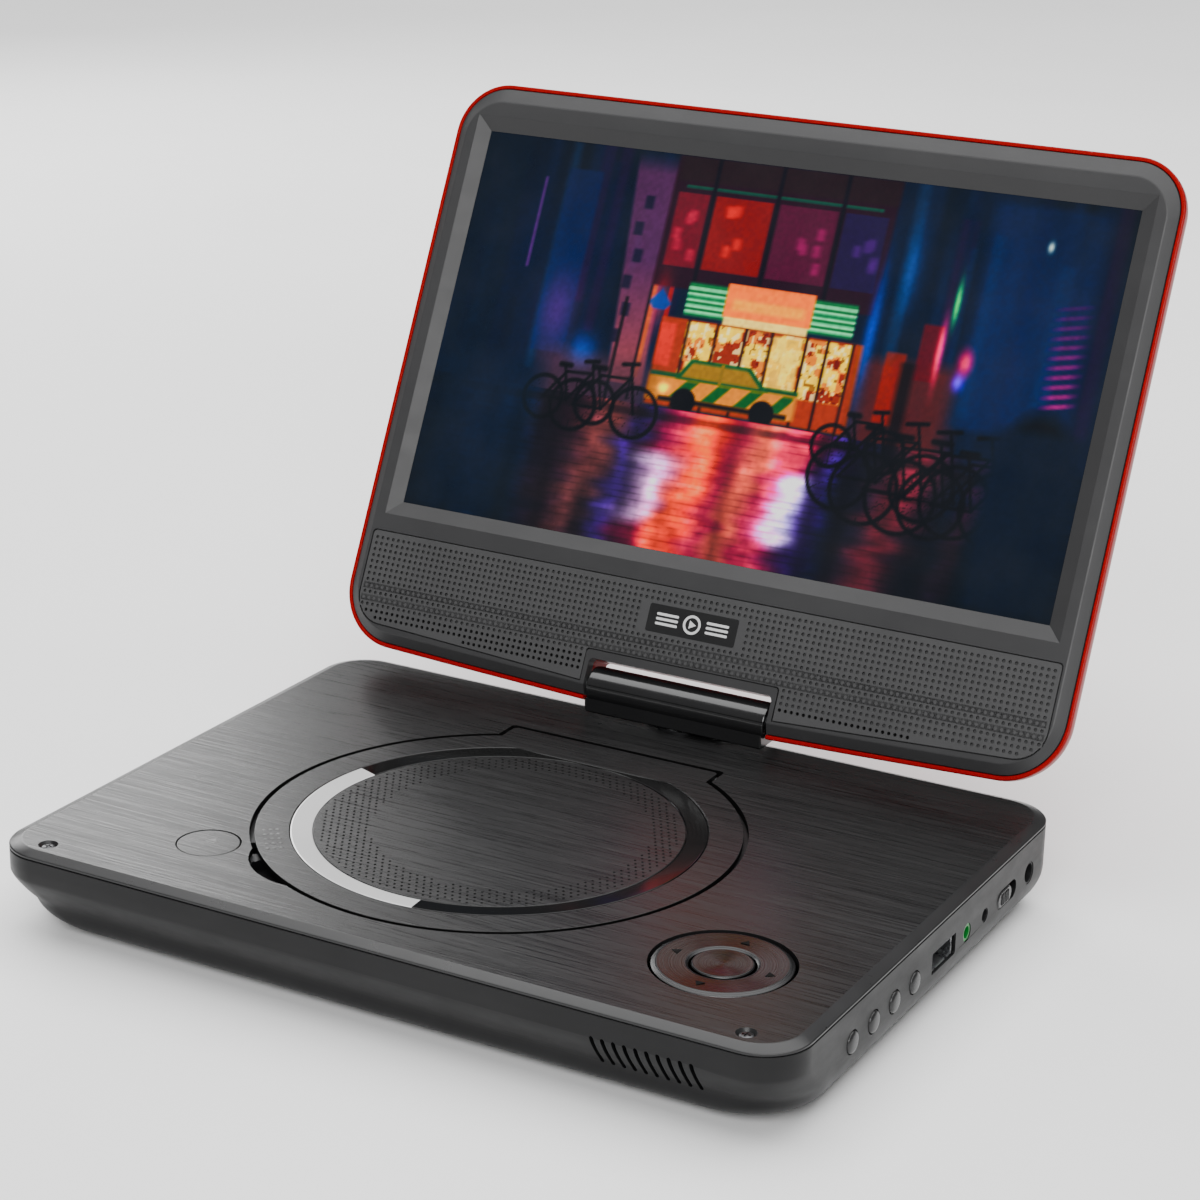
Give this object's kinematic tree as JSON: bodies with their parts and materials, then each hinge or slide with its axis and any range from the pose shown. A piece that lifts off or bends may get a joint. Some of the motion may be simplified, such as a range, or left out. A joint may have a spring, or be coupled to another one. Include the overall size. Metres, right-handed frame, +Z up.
{
  "type": "portable dvd player",
  "caption": "Portable disc player: flat base with a round disc lid, navigation pad and side sockets, and a wide screen that swivels, tilts and folds down.",
  "frame": {"origin": "bottom centre of the open player's bounding box, on the plane the feet stand on", "axes": "+X towards the side with the sockets and buttons, +Y towards the back, +Z up"},
  "size_m": [0.2486, 0.2623, 0.2049],
  "materials": {
    "case_plastic": "satin black moulded plastic",
    "cover_plastic": "dark brushed plastic",
    "ring_gloss": "black gloss",
    "inner_plastic": "matt black plastic",
    "shell_red": "red lacquered gloss",
    "bezel_plastic": "dark grey satin gloss",
    "badge": "plain dark plate",
    "display": "lit colour display",
    "nav_metal": "spun metal look",
    "button_plastic": "satin dark plastic",
    "steel": "bright steel",
    "rubber": "matt black rubber",
    "board_green": "circuit board",
    "cell": "blue film over metal cells",
    "jack_green": "green jack ring",
    "hinge_gloss": "dark grey gloss",
    "screw_brass": "brass lead screw",
    "lens": "coated lens"
  },
  "bodies": {
    "base": {"bottom_case": "case_plastic", "top_cover": "cover_plastic", "disc_tray": "inner_plastic", "loader_chassis": "steel", "spindle_motor": "steel", "guide_rods": "steel", "sled_motor": "steel", "chassis_dampers": "rubber", "main_board": "board_green", "key_board": "board_green", "battery_pack": "cell", "battery_door": "case_plastic", "battery_door_screw": "steel", "rubber_feet": "rubber", "case_screws": "steel", "cover_screws": "steel", "dc_jack": "inner_plastic", "av_jack": "inner_plastic", "headphone_jack": "jack_green", "usb_socket": "steel", "power_switch": "inner_plastic", "side_key_switches": "inner_plastic", "swivel_bracket": "steel", "swivel_washer": "inner_plastic", "open_button_spring": "steel"},
    "disc_lid": {"disc_lid_panel": "cover_plastic", "disc_lid_ring": "ring_gloss", "disc_lid_plate": "cover_plastic", "disc_lid_pins": "steel"},
    "open_button": {"open_button": "cover_plastic"},
    "door_latch": {"door_latch": "inner_plastic"},
    "nav_frame": {"nav_rocker_frame": "inner_plastic"},
    "nav_ring": {"nav_ring": "nav_metal"},
    "nav_centre": {"nav_centre_button": "nav_metal"},
    "side_button_1": {"side_button_1": "button_plastic"},
    "side_button_2": {"side_button_2": "button_plastic"},
    "side_button_3": {"side_button_3": "button_plastic"},
    "side_button_4": {"side_button_4": "button_plastic"},
    "power_knob": {"power_switch_knob": "button_plastic"},
    "spindle": {"spindle_hub": "inner_plastic", "hub_balls": "steel"},
    "pickup": {"pickup_sled": "inner_plastic", "pickup_lens": "lens"},
    "lead_screw": {"lead_screw": "screw_brass"},
    "swivel": {"hinge_block": "hinge_gloss", "hinge_cap": "hinge_gloss", "swivel_post": "steel", "post_clip": "steel"},
    "screen": {"front_bezel": "bezel_plastic", "speaker_grille": "bezel_plastic", "badge_plate": "badge", "rear_cover": "shell_red", "lcd_panel": "display", "screen_board": "board_green", "speakers": "inner_plastic", "hinge_brackets": "steel", "tilt_shafts": "steel", "bracket_screws": "steel", "lid_screws": "steel"}
  },
  "joints": [
    {"name": "screen_swivel", "type": "hinge", "parent": "base", "child": "swivel", "pos_m": [0, 0.0482, 0.028], "axis": [0, 0, 1], "range_deg": [-180, 0]},
    {"name": "screen_tilt", "type": "hinge", "parent": "swivel", "child": "screen", "pos_m": [0, 0.0482, 0.0354], "axis": [-1, 0, 0], "range_deg": [-115.5, 64.5]},
    {"name": "disc_lid_hinge", "type": "hinge", "parent": "base", "child": "disc_lid", "pos_m": [-0.0081, 0.0193, 0.026], "axis": [-1, 0, 0], "range_deg": [0, 65]},
    {"name": "open_button_press", "type": "slide", "parent": "base", "child": "open_button", "axis": [0, 0, -1], "range_m": [0, 0.0012], "stiffness_N_per_m": 400, "springref_m": -0.0008, "deforming": ["open_button_spring"]},
    {"name": "door_latch_slide", "type": "slide", "parent": "base", "child": "door_latch", "axis": [-0.766, -0.6428, 0], "range_m": [0, 0.0015]},
    {"name": "nav_tilt_sides", "type": "hinge", "parent": "base", "child": "nav_frame", "pos_m": [0.0859, -0.0923, 0.0235], "axis": [0, 1, 0], "range_deg": [-1.5, 1.5], "stiffness_Nm_per_rad": 1},
    {"name": "nav_tilt_ends", "type": "hinge", "parent": "nav_frame", "child": "nav_ring", "pos_m": [0.0859, -0.0923, 0.0255], "axis": [1, 0, 0], "range_deg": [-1.5, 1.5], "stiffness_Nm_per_rad": 1},
    {"name": "nav_centre_press", "type": "slide", "parent": "base", "child": "nav_centre", "axis": [0, 0, -1], "range_m": [0, 0.0008], "stiffness_N_per_m": 300, "springref_m": -0.0008},
    {"name": "side_button_1_press", "type": "slide", "parent": "base", "child": "side_button_1", "axis": [-1, 0, 0], "range_m": [0, 0.0008], "stiffness_N_per_m": 300, "springref_m": -0.0008},
    {"name": "side_button_2_press", "type": "slide", "parent": "base", "child": "side_button_2", "axis": [-1, 0, 0], "range_m": [0, 0.0008], "stiffness_N_per_m": 300, "springref_m": -0.0008},
    {"name": "side_button_3_press", "type": "slide", "parent": "base", "child": "side_button_3", "axis": [-1, 0, 0], "range_m": [0, 0.0008], "stiffness_N_per_m": 300, "springref_m": -0.0008},
    {"name": "side_button_4_press", "type": "slide", "parent": "base", "child": "side_button_4", "axis": [-1, 0, 0], "range_m": [0, 0.0008], "stiffness_N_per_m": 300, "springref_m": -0.0008},
    {"name": "power_switch_slide", "type": "slide", "parent": "base", "child": "power_knob", "axis": [0, 1, 0], "range_m": [0, 0.0038]},
    {"name": "spindle_spin", "type": "hinge", "parent": "base", "child": "spindle", "pos_m": [-0.0081, -0.0471, 0.02], "axis": [0, 0, 1], "continuous": true},
    {"name": "pickup_slide", "type": "slide", "parent": "base", "child": "pickup", "axis": [1, 0, 0], "range_m": [-0.0068, 0.0155]},
    {"name": "lead_screw_turn", "type": "hinge", "parent": "base", "child": "lead_screw", "pos_m": [0, -0.0255, 0.0148], "axis": [1, 0, 0], "range_deg": [-1642, 3730]}
  ],
  "couplings": [
    {"joint": "door_latch_slide", "follows": "open_button_press", "ratio": 1.25},
    {"joint": "lead_screw_turn", "follows": "pickup_slide", "rad_per_m": 4188.8}
  ]
}
